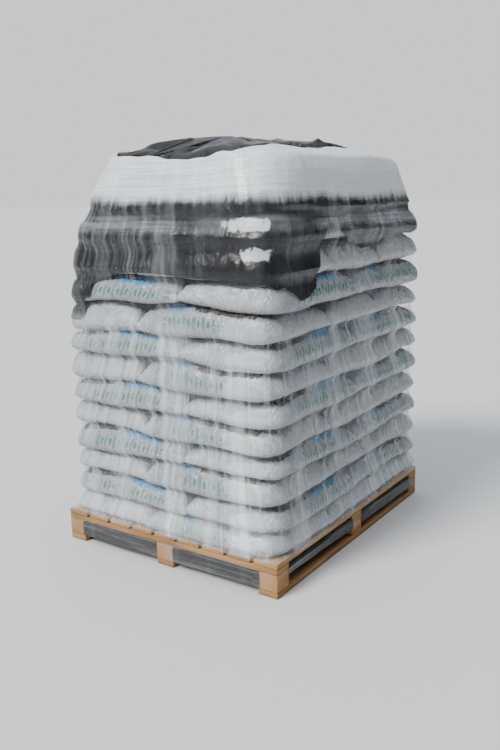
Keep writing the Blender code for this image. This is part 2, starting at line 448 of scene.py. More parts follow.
@dataclass(frozen=True)
class SackFilm:
    """White sack film with a generic print, whose map is in metres along and round the sack."""

    length: float
    fold: float
    leaf_pitch: float = 0.0235
    leaf_width: float = 0.0068
    white: tuple = display(157, 161, 167)
    shade: tuple = display(137, 142, 149)
    gathered_highlight: tuple = display(232, 234, 236)
    green: tuple = display(48, 116, 88)
    blue: tuple = display(60, 140, 190)
    pale_blue: tuple = display(84, 158, 200)
    bark: tuple = display(50, 46, 41)
    straw: tuple = display(96, 80, 64)
    ink: tuple = display(40, 42, 44)

    def printed(self, bench: Bench) -> bpy.types.NodeSocket:
        """Return the colour of the film with its bands, patches and garlands and a painted highlight at the
        ends.

        The side that faces local low Y has one layout and the other side another.

        Args:
            bench: The film's bench.

        Returns:
            The colour.
        """
        u, v, _ = bench.axes(bench.map("Print"))
        along = u / self.length
        side = abs(v)
        front = v.ease(0.001, -0.001)
        back = 1.0 - front
        wobble = bench.cloud(bench.map("Print"), 24.0) * 0.010 - 0.005
        lie = side + wobble
        upper = lie.between(self.fold - 0.130, self.fold - 0.042, 0.0015)
        band = upper * (front * along.between(0.10, 0.42, 0.003)
                        + back * along.between(0.14, 0.57, 0.003))
        patch_low = lie.between(self.fold - 0.130, self.fold - 0.036, 0.0015)
        patch = patch_low * (front * (along + (lie - self.fold) * 0.7).between(0.46, 0.77, 0.003)
                             + back * (along - (lie - self.fold) * 0.7).between(0.65, 0.79, 0.003))
        colour = bench.blend(bench.cloud(bench.place(), 6.0), self.white, self.shade)
        # Painted highlight, partly whiter gathered film: the sack film is drawn paler towards each end.
        end_highlight = abs(u - self.length / 2).ease(self.length / 2 - 0.07, self.length / 2 - 0.01)
        colour = bench.blend(end_highlight * 0.30, colour, self.gathered_highlight)
        chips = bench.cells(bench.stretched(bench.map("Print"), (1.0, 2.2, 1.0)), 62.0)
        chip = bench.axes(chips.outputs["Color"])[0]
        mosaic = bench.ramp(chip, [(0.0, self.bark), (0.60, self.bark), (0.85, self.straw),
                                   (1.0, self.straw)])
        colour = bench.blend(band * 0.92, colour, mosaic)
        slant = (u * 30.0 + lie * 26.0).part() - 0.5
        bars = abs(slant).ease(0.30, 0.34)
        colour = bench.blend(patch * 0.92, colour, bench.blend(bars, self.blue, self.pale_blue))
        garland = self.garland(u, lie)
        row = front * along.between(0.24, 0.86, 0.001) + back * along.between(0.13, 0.78, 0.001)
        colour = bench.blend(garland * row * 0.9, colour, self.green)
        ticks = (u * 160.0).part() - 0.5
        tick = abs(ticks).ease(0.30, 0.22) * (lie.between(self.fold - 0.026, self.fold - 0.018, 0.001)
                                             + lie.between(self.fold - 0.010, self.fold + 0.004, 0.001))
        marks = back * along.between(0.045, 0.105, 0.002) + front * along.between(0.89, 0.95, 0.002)
        return bench.blend(tick * marks * 0.85, colour, self.ink)

    def garland(self, u: Signal, lie: Signal) -> Signal:
        """Draw a row of leaves, a tall and a short one in turn, along the fold.

        Args:
            u: Metres along the sack.
            lie: Metres round it from the middle.

        Returns:
            1 on the leaves and 0 elsewhere.
        """
        pitch = self.leaf_pitch
        step = u / pitch
        tall = (step * 0.5).part().ease(0.498, 0.502)
        across = (step.part() - 0.5) * pitch
        height = lie - self.fold + 0.014
        lean = across + height * 0.28
        oval = (lean * (1 / self.leaf_width)) ** 2.0 + (height / (tall * 0.0085 + 0.0085)) ** 2.0
        vein = abs(lean).ease(0.0016, 0.0008) * tall
        return oval.ease(1.25, 0.9) * (1.0 - vein)

    def material(self, name: str) -> bpy.types.Material:
        """Return the sack film.

        Args:
            name: The material's name.

        Returns:
            The material.
        """
        bench = Finish(name)
        place = bench.place()
        u = bench.axes(bench.map("Print"))[0]
        pellets = Signal(bench, bench.cells(place, 105.0).outputs["Distance"])
        lumps = bench.cloud(place, 38.0, 2.0)
        near_end = (abs(u - self.length / 2) - self.length / 2).ease(-0.10, -0.01)
        pleats = bench.cloud(bench.stretched(bench.map("Print"), (10.0, 75.0, 1.0)), 1.0, 3.0, 0.6, 0.4)
        creases = abs(bench.cloud(place, 13.0, 3.0, 0.55, 0.5) - 0.5).ease(0.05, 0.0)
        bench.bumps((pellets, -0.0006), (lumps, 0.0024), (pleats * near_end, 0.0080), (creases, 0.0020))
        rough = bench.cloud(place, 30.0, 3.0) * 0.20 + 0.16
        return bench.dress(Base_Color=self.printed(bench), Roughness=rough)


@dataclass(frozen=True)
class BlackSheet:
    """Thin black polythene, crinkled and a little dusty."""

    black: tuple = display(17, 17, 20)
    dust: tuple = display(92, 94, 100)

    def material(self, name: str) -> bpy.types.Material:
        """Return the sheet's material.

        Args:
            name: The material's name.

        Returns:
            The material.
        """
        bench = Finish(name)
        place = bench.place()
        crinkle = abs(bench.cloud(place, 16.0, 4.0, 0.6, 0.7) - 0.5)
        fine = bench.cloud(place, 90.0, 3.0, 0.6)
        bench.bumps((crinkle, 0.005), (fine, 0.0005))
        dust = bench.cloud(place, 7.0, 4.0, 0.6).ease(0.45, 0.75) * 0.14
        rough = bench.cloud(place, 22.0, 2.0) * 0.25 + 0.20
        return bench.dress(Base_Color=bench.blend(dust, self.black, self.dust), Roughness=rough,
                           Specular_IOR_Level=0.35)


@dataclass(frozen=True)
class ClearFilm:
    """Stretch film: clear where it lies once on the load and milky where its turns lap.

    Its map is in metres round the load and up it. Its milk also carries painted highlights and sheen, and
    painted shade over the deck's hollows.
    """

    milk: tuple = display(228, 235, 240)
    hollow_shade: tuple = display(30, 32, 34)
    shoulder: float = 1.345
    sheet_high: tuple[float, float] = (1.00, 1.08)
    bulge_haze_and_highlight: tuple[float, float] = (1.238, 1.290)
    highlight_upper: tuple[float, float] = (1.243, 1.281)
    highlight_lower: tuple[float, float] = (1.148, 1.188)
    girth: float = 4.16
    lap_back: float = 0.36

    def material(self, name: str) -> bpy.types.Material:
        """Return the film's material.

        Args:
            name: The material's name.

        Returns:
            The material.
        """
        bench = Finish(name)
        wind = bench.map("Wind")
        around, up, _ = bench.axes(wind)
        gap = Signal(bench, bench.node("ShaderNodeAttribute", {"attribute_name": "Gap"}).outputs["Fac"])
        streaks = bench.cloud(bench.stretched(wind, (2.2, 95.0, 1.0)), 1.0, 4.0, 0.65, 0.3)
        curtains = bench.cloud(bench.stretched(wind, (30.0, 2.2, 1.0)), 1.0, 3.0, 0.6)
        bands = bench.cloud(bench.stretched(wind, (7.0, 0.7, 1.0)), 1.0, 2.0, 0.5)
        hazes = bench.cloud(wind, 4.5, 4.0, 0.6, 0.4)
        scored = bench.cloud(bench.stretched(wind, (5.0, 260.0, 1.0)), 1.0, 2.0)
        scratch = abs(scored - 0.5).ease(0.03, 0.0)
        high = (up + hazes * 0.05 + curtains * 0.03 - 0.04).ease(self.shoulder - 0.02, self.shoulder + 0.03)
        loose = gap.ease(0.001, 0.020)
        turned = around - around.ease(self.girth / 2, self.girth / 2 + 0.001) * self.girth
        touch = gap.ease(0.014, 0.004)
        on_sheet = up.ease(*self.sheet_high)
        pulled = curtains.ease(0.42, 0.70) * streaks.ease(0.25, 0.60) * on_sheet
        # Partly haze and partly painted highlight: milkier film where it touches the bulges in this band.
        second = ((up + (curtains - 0.5) * 0.03).between(*self.bulge_haze_and_highlight, 0.014) * touch
                  * (hazes.ease(0.40, 0.6) * 0.20 + streaks.ease(0.35, 0.60) * 0.14))
        frayed = hazes * 0.12 + curtains * 0.05 - 0.085
        crumple = bench.cloud(wind, 30.0, 4.0, 0.65, 0.6)
        # Painted highlights: crumpled patches of milkier film at the near corner over two sack bulges high
        # on the load.
        glare = ((turned + frayed).between(-0.07, 0.085, 0.06) * up.between(*self.highlight_upper, 0.020)
                 + (turned + frayed).between(-0.02, 0.075, 0.05) * up.between(*self.highlight_lower, 0.020))
        glare = (glare * 0.7 + crumple - 0.5).ease(0.20, 0.42) * (0.50 + crumple * 0.35)
        # Painted highlights: milkier crumpled patches where the film touches the sack ends near the corner,
        # all the way up.
        ends = (turned.between(-0.10, 0.06, 0.05) * touch * up.between(0.16, 0.96, 0.04) * 0.75
                + crumple - 0.5).ease(0.12, 0.50) * 0.42
        fine = bench.cloud(bench.stretched(wind, (58.0, 3.2, 1.0)), 1.0, 3.0, 0.6)
        corner = turned.between(-0.30, 0.36, 0.09) * up.between(1.00, 1.33, 0.02)
        lap = abs(around - (self.girth - self.lap_back) + hazes * 0.02).ease(0.020, 0.004)
        over_sacks = up.ease(0.95, 0.90)
        veil = (streaks.ease(0.50, 0.80) * 0.08 + curtains.ease(0.48, 0.66) * 0.28
                + bands.ease(0.50, 0.60) * 0.26 + hazes.ease(0.5, 0.8) * 0.10 + scratch * 0.06
                + lap * up.ease(1.28, 1.22) * 0.34)
        veil = veil * (0.24 + over_sacks * 0.72) * (0.85 + loose * 0.15) + over_sacks * 0.04
        veil = veil + (pulled + fine.ease(0.45, 0.70) * on_sheet) * 0.055 + second
        veil = 0.008 + veil * (1.0 - corner * 0.65) + glare + ends
        veil = veil + turned.between(0.12, 1.25, 0.10) * high * 0.16
        veil = veil + high * (0.68 + streaks.ease(0.35, 0.6) * 0.24 - scratch * 0.22)
        skirt = up.ease(0.135, 0.115)
        # Painted shade: over the hollows of the deck the film is drawn in dark grey, for the shade under
        # the pallet.
        hollow = skirt * gap.ease(0.02, 0.05)
        dark = hollow * (0.95 - streaks.ease(0.45, 0.80) * 0.22 - bands.ease(0.55, 0.80) * 0.12)
        colour = bench.blend(dark, self.milk, self.hollow_shade)
        bench.bumps((streaks, 0.0013), (curtains, 0.0018), (hazes, 0.004))
        rough = hazes * 0.2 + 0.10
        foot = up.between(0.125, 0.24, 0.06) * (1.0 - hollow)
        veil = veil + foot * (0.12 + hazes.ease(0.35, 0.65) * 0.20)
        # Painted sheen: the film is drawn more opaque and milkier at grazing angles.
        edge = Signal(bench, bench.node("ShaderNodeLayerWeight", None, {"Blend": 0.35}).outputs["Facing"])
        # Over the hollows the painted shade is also made nearly opaque.
        alpha = (veil * (1.0 - hollow * 0.85) * (1.0 - skirt * 0.75)
                 + edge * (0.02 + over_sacks * 0.06) + hollow * 0.84).low(0.93)
        return bench.dress(Base_Color=colour, Roughness=rough, Alpha=alpha, Specular_IOR_Level=0.35)


@dataclass
class Pallet:
    """The light wooden pallet: each board is worked over where its CAD node lies."""

    rough_by: float = 0.0016
    wear_size: float = 0.03
    clear: float = 0.0006
    edge_round: float = 0.0022
    board_step: float = 0.045

    def board(self, node: str, grain: Axis, seed: int) -> bpy.types.Object:
        """Saw one board at its node's place, with worn edges and a faint warp.

        Args:
            node: The CAD node that the board stands for.
            grain: The way its grain runs.
            seed: What makes its grain its own.

        Returns:
            The board.
        """
        low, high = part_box(node)
        size = high - low
        bpy.ops.object.select_all(action="DESELECT")
        bpy.ops.mesh.primitive_cube_add(size=1.0, location=(low + high) / 2)
        board = bpy.context.object
        board.scale = size - Vector((self.clear,) * 3)
        bpy.ops.object.transform_apply(location=True, scale=True)
        board.name = board.data.name = f"{node}_sawn"
        bpy.ops.object.mode_set(mode="EDIT")
        cuts = max(2, round(max(size) / self.board_step))
        length_axis = max(range(3), key=lambda axis: size[axis])
        for step in range(1, cuts):
            at, normal = [0.0, 0.0, 0.0], [0.0, 0.0, 0.0]
            at[length_axis] = low[length_axis] + size[length_axis] * step / cuts
            normal[length_axis] = 1.0
            bpy.ops.mesh.select_all(action="SELECT")
            bpy.ops.mesh.bisect(plane_co=at, plane_no=normal)
        bpy.ops.object.mode_set(mode="OBJECT")
        worked(board, "BEVEL", width=self.edge_round, segments=2, angle_limit=math.radians(40))
        wear = bpy.data.textures.new(f"{node}_wear", "CLOUDS")
        wear.noise_scale = self.wear_size
        worked(board, "DISPLACE", texture=wear, texture_coords="GLOBAL", strength=-self.rough_by,
               mid_level=0.3)
        bpy.ops.object.shade_smooth_by_angle(angle=math.radians(35))
        board.data.materials.append(SawnWood(grain, seed).material(f"{node}_wood"))
        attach(board, ROOT)
        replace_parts(board, node)
        return board

    def build(self) -> list[bpy.types.Object]:
        """Saw every board of the pallet.

        Returns:
            The boards.
        """
        names = sorted(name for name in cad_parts
                       if name.startswith(("bottom_skid", "block", "stringer", "deck_board")))
        boards = []
        for seed, name in enumerate(names, 11):
            low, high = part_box(name)
            size = high - low
            grain = Axis(max(range(3), key=lambda axis: size[axis]))
            if name.startswith("block"):
                grain = Axis.Y
            boards.append(self.board(name, grain, seed))
        LOG.info("pallet: %d boards", len(names))
        return boards


@dataclass
class SackMould:
    """How one filled sack is shaped: a flat tube, welded at both ends, filled between two boards."""

    cut_length: float = 0.655
    cut_width: float = 0.450
    pressed: float = 0.104
    cells_long: int = 66
    cells_wide: int = 46
    frames: int = 16
    keep_share: float = 0.60
    fill_volume: float = 0.0250
    fin: float = 0.007

    def flat_bag(self, seed: int) -> bpy.types.Object:
        """Lay out the empty bag: two plies that share their rim.

        Args:
            seed: What makes its first creases its own.

        Returns:
            The bag, whose Print map is in metres along it and round it.
        """
        bpy.ops.object.select_all(action="DESELECT")
        bpy.ops.mesh.primitive_grid_add(x_subdivisions=self.cells_long, y_subdivisions=self.cells_wide,
                                        size=1.0, location=(0, 0, 0.001))
        bag = bpy.context.object
        bag.scale = (self.cut_length, self.cut_width, 1.0)
        bpy.ops.object.transform_apply(location=True, scale=True)
        bpy.ops.object.mode_set(mode="EDIT")
        bpy.ops.mesh.select_all(action="SELECT")
        bpy.ops.mesh.extrude_region_move(TRANSFORM_OT_translate={"value": (0, 0, -0.002)})
        bpy.ops.mesh.select_all(action="SELECT")
        bpy.ops.mesh.normals_make_consistent(inside=False)
        bpy.ops.mesh.select_all(action="DESELECT")
        bpy.ops.object.mode_set(mode="OBJECT")
        mesh = bag.data
        half = np.array((self.cut_length, self.cut_width)) / 2
        points = points_of(mesh)
        inset = np.min(half - abs(points[:, :2]), axis=1)
        mesh.vertices.foreach_set("select", inset < 1e-5)
        bpy.ops.object.mode_set(mode="EDIT")
        bpy.ops.mesh.remove_doubles(threshold=0.0025)
        bpy.ops.object.mode_set(mode="OBJECT")
        points = points_of(mesh)
        inset = np.min(half - abs(points[:, :2]), axis=1)
        side = np.sign(points[:, 2]) * (inset > 1e-5)
        self.add_print_map(mesh, points, side)
        rim = np.flatnonzero((inset < 1e-5) & (half[0] - abs(points[:, 0]) < 1e-5))
        bag.vertex_groups.new(name="weld").add([int(index) for index in rim], 1.0, "REPLACE")
        rng = np.random.default_rng(seed)
        inner = inset > 1e-5
        points[inner, :2] += rng.normal(0, 0.0014, (int(inner.sum()), 2))
        points[:, 2] = side * (0.004 + 0.020 * np.clip(inset / 0.04, 0, 1))
        points[:, 2] += inner * rng.normal(0, 0.0008, len(points))
        put_points(mesh, points)
        mesh.update()
        return bag

    def add_print_map(self, mesh: bpy.types.Mesh, points: np.ndarray, side: np.ndarray) -> None:
        """Give the bag its Print map: metres from one end, and signed metres round from the middle.

        Args:
            mesh: The bag's mesh.
            points: Its points.
            side: 1 for a point of the upper ply, -1 for one of the lower, and 0 on the rim.
        """
        corner = np.zeros(len(mesh.loops), np.int32)
        mesh.loops.foreach_get("vertex_index", corner)
        starts = np.array([face.loop_start for face in mesh.polygons])
        totals = np.array([face.loop_total for face in mesh.polygons])
        face_of = np.repeat(np.arange(len(starts)), totals)
        lower = np.add.reduceat(side[corner], starts)[face_of] < 0
        middle = np.add.reduceat(points[corner, 1], starts)[face_of]
        turned = np.sign(middle) * (self.cut_width - abs(points[corner, 1]))
        around = np.where(lower, turned, points[corner, 1])
        spread = np.stack([points[corner, 0] + self.cut_length / 2, around], axis=1)
        while mesh.uv_layers:
            mesh.uv_layers.remove(mesh.uv_layers[0])
        mesh.uv_layers.new(name="Print").data.foreach_set("uv", spread.astype(np.float32).ravel())

    def board(self, height: float, tilt: float) -> bpy.types.Object:
        """Add one of the two boards between which the sack is filled.

        Args:
            height: The height of the face that presses, which is below 0 for the lower board.
            tilt: How much it leans, in radians.

        Returns:
            The board.
        """
        bpy.ops.mesh.primitive_cube_add(size=1.0, location=(0, 0, height + math.copysign(0.1, height)),
                                        rotation=(tilt, tilt / 2, 0))
        board = bpy.context.object
        board.scale = (1.2, 1.2, 0.2)
        hardened(board, 0.003, 0.0)
        return board

    def filled(self, name: str, seed: int, volume_share: float, tilt: float) -> bpy.types.Object:
        """Fill one bag by a cloth simulation and return it, lying flat at the origin.

        Args:
            name: The piece's name.
            seed: What makes its creases its own.
            volume_share: How full it is, as a share of the usual volume.
            tilt: How much the upper board leans, in radians.

        Returns:
            The filled sack.
        """
        bag = self.flat_bag(seed)
        bag.name = bag.data.name = name
        boards = [self.board(self.pressed / 2, tilt), self.board(-self.pressed / 2, 0.0)]
        played(bag, self.frames, 0.002, 0.0, quality=6, mass=0.02, tension_stiffness=60,
               compression_stiffness=20, shear_stiffness=20, bending_stiffness=0.1, tension_damping=15,
               compression_damping=15, shear_damping=15, air_damping=3, use_pressure=True,
               uniform_pressure_force=0, use_pressure_volume=True,
               target_volume=self.fill_volume * volume_share, pressure_factor=20)
        for board in boards:
            bpy.data.objects.remove(board, do_unlink=True)
        points = points_of(bag.data)
        weld = [vertex.index for vertex in bag.data.vertices if vertex.groups]
        points[weld, 0] += np.sign(points[weld, 0]) * self.fin
        put_points(bag.data, points)
        bag.vertex_groups.clear()
        worked(bag, "DECIMATE", ratio=self.keep_share)
        bpy.ops.object.shade_smooth()
        return bag


@dataclass(frozen=True)
class Cell:
    """The room that one sack takes in its layer, and how the sack is turned in it."""

    low: tuple[float, float]
    high: tuple[float, float]
    turn: int


@dataclass
class Load:
    """The fourteen layers of sacks and the two on top, each sack a piece of its own."""

    mould: SackMould = field(default_factory=SackMould)
    kinds: int = 4
    rough: float = 0.0125
    shuffle: float = 0.005
    end_in: float = 0.004
    side_out: float = 0.003
    narrow: float = 0.996
    off_centre: float = 0.007
    foot: float = 1.016
    sag: float = 0.9
    sag_depth: float = 0.11
    corner_round: tuple[float, float, float] = (0.085, 0.120, 0.030)
    top_corners: dict = field(default_factory=lambda: {
        9: (0.110, 0.120, 0.030), 10: (0.130, 0.120, 0.030), 11: (0.160, 0.120, 0.040),
        12: (0.220, 0.130, 0.060), 13: (0.260, 0.150, 0.090), 14: (0.310, 0.200, 0.140)})
    top_thick: tuple[float, float] = (0.56, 0.80)
    top_fall: tuple[float, float, float] = (0.30, 0.40, 0.10)
    end_give: tuple[float, float] = (0.010, 0.020)
    side_give: tuple[float, float] = (0.004, 0.012)
    clear: float = 0.0003
    top_droop: dict = field(default_factory=lambda: {13: 0.003, 14: 0.010, 15: 0.024})
    sacks: list[bpy.types.Object] = field(default_factory=list)

    def reach(self, layer: int) -> tuple[float, float, float, float]:
        """Return low X, high X, low Y and high Y of a layer."""
        low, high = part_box(f"sack_layer_{layer:02d}")
        return low.x, high.x, low.y, high.y

    def floor(self, layer: int, x: np.ndarray, y: np.ndarray) -> np.ndarray:
        """Return the height at which a layer starts, over points of the plan.

        Args:
            layer: The layer's number, from 1. 15 is the top of the load.
            x: The points' X.
            y: The points' Y.

        Returns:
            A height for each point.
        """
        if layer == 1:
            return np.full(len(x), DECK_TOP + 0.001)
        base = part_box(f"sack_layer_{layer:02d}")[0].z if layer <= LAYERS else LOAD_TOP
        ripple = wavy(x, y, 3.1, layer * 5.3)
        out = (abs(x / 0.49) ** 4 + abs(y / 0.59) ** 4) ** 0.25
        droop = self.top_droop.get(layer, 0.0) * (np.clip(out - 0.55, 0, 1) / 0.45) ** 2
        fine = wavy(x, y, 9.0, layer * 2.7)
        return base + ripple * 2 * self.rough * (0.45 if layer > LAYERS else 1.0) + fine * 0.0035 - droop

    def cells(self, layer: int) -> list[Cell]:
        """Lay out a layer, crosswise to the next one.

        Args:
            layer: The layer's number.

        Returns:
            Its five cells.
        """
        low_x, high_x, low_y, high_y = self.reach(layer)
        along_right = layer % 2 == 0
        share = 1 - SACK_LENGTH_SHARE if along_right else SACK_LENGTH_SHARE
        split = high_x - share * (high_x - low_x)
        thirds = np.linspace(low_y, high_y, 4)
        halves = np.linspace(low_y, high_y, 3)
        rng = np.random.default_rng(layer)
        found = []
        across_from, across_to = (low_x, split) if along_right else (split, high_x)
        for start, end in zip(thirds, thirds[1:]):
            front = start == low_y
            turn = (0 if along_right else 2) if front else 2 * int(rng.integers(2))
            found.append(Cell((across_from, start), (across_to, end), turn))
        along_from, along_to = (split, high_x) if along_right else (low_x, split)
        for start, end in zip(halves, halves[1:]):
            turn = (1 if start == low_y else 3) if along_right else 1 + 2 * int(rng.integers(2))
            found.append(Cell((along_from, start), (along_to, end), turn))
        return found

    @staticmethod
    def squeezed(value: np.ndarray, limit: float, give: float) -> np.ndarray:
        """Press values in so that none passes a limit, smoothly over the last stretch."""
        over = value - (limit - give)
        return np.where(over > 0, limit - give + give * np.tanh(over / give), value)

    def rounded(self, plan: np.ndarray, layer: int) -> np.ndarray:
        """Draw the corners of a layer in, as the film's pull does, by mapping squares onto discs.

        Args:
            plan: The points, one row each.
            layer: The layer's number.

        Returns:
            The moved points.
        """
        low_x, high_x, low_y, high_y = self.reach(layer)
        middle = np.array(((low_x + high_x) / 2, (low_y + high_y) / 2))
        half = np.array(((high_x - low_x) / 2, (high_y - low_y) / 2))
        away = plan - middle
        radii = self.top_corners.get(layer, self.corner_round)
        right = np.where(away[:, 1] < 0, radii[1], radii[2])
        radius = np.where(away[:, 0] < 0, radii[0], right)[:, None]
        past = np.maximum(abs(away) - (half - radius), 0) / radius
        other = np.minimum(past[:, ::-1], 1.0)
        drawn = past * np.sqrt(1 - other ** 2 / 2)
        return plan + np.sign(away) * (drawn - past) * radius

    def outer_share(self, plan: np.ndarray, layer: int) -> np.ndarray:
        """Tell how near to a layer's outline points are.

        Args:
            plan: The points, one row each.
            layer: The layer's number.

        Returns:
            1 at the outline and 0 further in than the sag reaches.
        """
        low_x, high_x, low_y, high_y = self.reach(layer)
        inset = np.min([plan[:, 0] - low_x, high_x - plan[:, 0],
                        plan[:, 1] - low_y, high_y - plan[:, 1]], axis=0)
        share = np.clip(1 - inset / self.sag_depth, 0, 1)
        return share * share * (3 - 2 * share)

    def lay(self, kind: bpy.types.Object, name: str, layer: int, cell: Cell,
            top: bool = False) -> bpy.types.Object:
        """Lay one sack in its cell, between the sacks below and those above.

        Args:
            kind: The filled sack that it is a copy of.
            name: The new piece's name.
            layer: Its layer.
            cell: Its room and its turn.
            top: Whether it is one of the two that lie on top.

        Returns:
            The sack.
        """
        mesh = kind.data.copy()
        points = points_of(mesh)
        end = abs(points[abs(points[:, 1]) < 0.08, 0]).max()
        flank = abs(points[abs(points[:, 0]) < 0.12, 1]).max()
        size = np.array(cell.high) - np.array(cell.low)
        lengthwise = cell.turn % 2 == 0
        trim = np.array((-self.end_in, self.side_out) if lengthwise else (self.side_out, -self.end_in))
        size = size + (0 if top else 2 * trim)
        middle = (np.array(cell.high) + np.array(cell.low)) / 2
        shift = np.random.default_rng([layer, *(int(1000 * (place + 1)) for place in cell.low)])
        size = size + shift.uniform(-self.shuffle, self.shuffle / 2, 2)
        middle = middle + shift.uniform(-self.shuffle, self.shuffle, 2) * 0.6
        own = size if lengthwise else size[::-1]
        along = points[:, 0] / end * (own[0] / 2)
        wide = points[:, 1] / flank * (own[1] / 2)
        along = np.sign(along) * self.squeezed(abs(along), own[0] / 2 + self.end_give[0], self.end_give[1])
        wide = np.sign(wide) * self.squeezed(abs(wide), own[1] / 2 + self.side_give[0], self.side_give[1])
        angle = math.pi / 2 * cell.turn
        plan = np.stack([along * math.cos(angle) - wide * math.sin(angle),
                         along * math.sin(angle) + wide * math.cos(angle)], axis=1) + middle
        low_z, high_z = points[:, 2].min(), points[:, 2].max()
        share = (points[:, 2] - low_z) / (high_z - low_z)
        if top:
            below = self.floor(layer, plan[:, 0], plan[:, 1])
            off = (plan - middle) / (size / 2)
            along_x, peak, along_y = self.top_fall
            fall = along_x * (off[:, 0] + peak) ** 2 + along_y * off[:, 1] ** 2
            low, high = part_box(name)
            thick = (high.z - low.z - 0.006) * self.top_thick[0 if cell.low[1] < -0.2 else 1]
            above = below + thick * np.clip(1 - fall, 0.25, 1)
        else:
            share = share ** (1 + self.sag * self.outer_share(plan, layer))
            plan = self.rounded(plan, layer)
            plan[:, 0] = plan[:, 0] * self.narrow + self.off_centre
            plan = plan * (self.foot if layer == 1 else 1.0)
            below = self.floor(layer, plan[:, 0], plan[:, 1])
            above = self.floor(layer + 1, plan[:, 0], plan[:, 1])
        z = below + self.clear + share * (above - below - 2 * self.clear)
        put_points(mesh, np.column_stack([plan, z]))
        mesh.update()
        piece = bpy.data.objects.new(f"sack_{name}", mesh)
        bpy.context.scene.collection.objects.link(piece)
        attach(piece, ROOT)
        self.sacks.append(piece)
        return piece

    def build(self) -> None:
        """Fill the kinds of sack, lay all 72 and take the kinds away."""
        count = self.kinds
        kinds = [self.mould.filled(f"kind_{number}", 40 + number, 0.94 + 0.03 * number,
                                   0.010 * (number - 1)) for number in range(count)]
        finish = SackFilm(self.mould.cut_length, self.mould.cut_width / 2).material("printed_sack_film")
        for kind in kinds:
            kind.data.materials.append(finish)
        rng = np.random.default_rng(5)
        for layer in range(1, LAYERS + 1):
            pieces = [self.lay(kinds[int(rng.integers(count))], f"{layer:02d}_{number}", layer, cell)
                      for number, cell in enumerate(self.cells(layer), 1)]
            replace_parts(pieces[0], f"sack_layer_{layer:02d}")
        for number in (1, 2):
            node = f"top_sack_{number}"
            low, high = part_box(node)
            cell = Cell((low.x, low.y), (high.x, high.y), 0)
            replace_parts(self.lay(kinds[number % count], node, LAYERS + 1, cell, top=True), node)
        for kind in kinds:
            bpy.data.objects.remove(kind, do_unlink=True)
        LOG.info("load: %d sacks", len(self.sacks))


